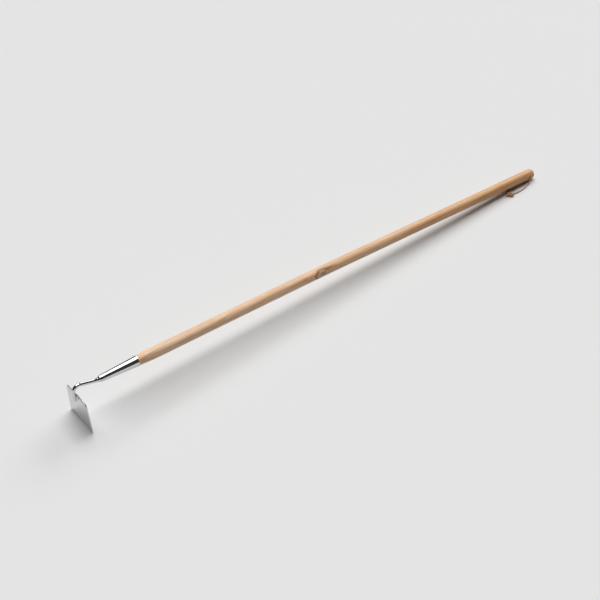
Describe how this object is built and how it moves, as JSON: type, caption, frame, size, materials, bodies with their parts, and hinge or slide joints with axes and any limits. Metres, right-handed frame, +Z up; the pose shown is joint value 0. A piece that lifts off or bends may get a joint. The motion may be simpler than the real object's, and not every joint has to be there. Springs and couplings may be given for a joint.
{
  "type": "stand up weeder",
  "caption": "Long-handled swan-neck hoe: wooden shaft, polished steel socket and neck, flat notched blade, leather hanging loop.",
  "frame": {"origin": "middle of the footprint, on the floor that the tool lies on: on its cutting edge and on the top end of its handle", "axes": "+X from the blade to the handle's top end, +Z up, +Y to the left of somebody who looks from the blade to the handle; the tool without its lace and pin is symmetric about the XZ plane, apart from a tab on the blade that sits 4 mm to -Y"},
  "size_m": [1.4942, 0.0942, 0.1158],
  "materials": {
    "ash_wood": "light ash, sanded and oiled, with long grain streaks",
    "polished_steel": "mirror-polished stainless steel",
    "satin_steel": "satin stainless steel with fine grinding lines",
    "lace_leather": "reddish-brown round leather lace, slightly waxed"
  },
  "bodies": {
    "tool": {"handle": "ash_wood", "socket": "polished_steel", "socket_pin": "satin_steel", "neck": "polished_steel", "neck_weld": "polished_steel", "blade": "satin_steel", "blade_weld": "satin_steel"},
    "hang_loop": {"lace_knot": "lace_leather", "lace_near": "lace_leather", "lace_far": "lace_leather", "lace_tail_front": "lace_leather", "lace_tail_back": "lace_leather"}
  },
  "joints": [
    {"name": "loop_swing", "type": "hinge", "parent": "tool", "child": "hang_loop", "pos_m": [0.72305, 0, 0.01533], "axis": [0, -1, 0], "range_deg": [-1, 315]}
  ]
}
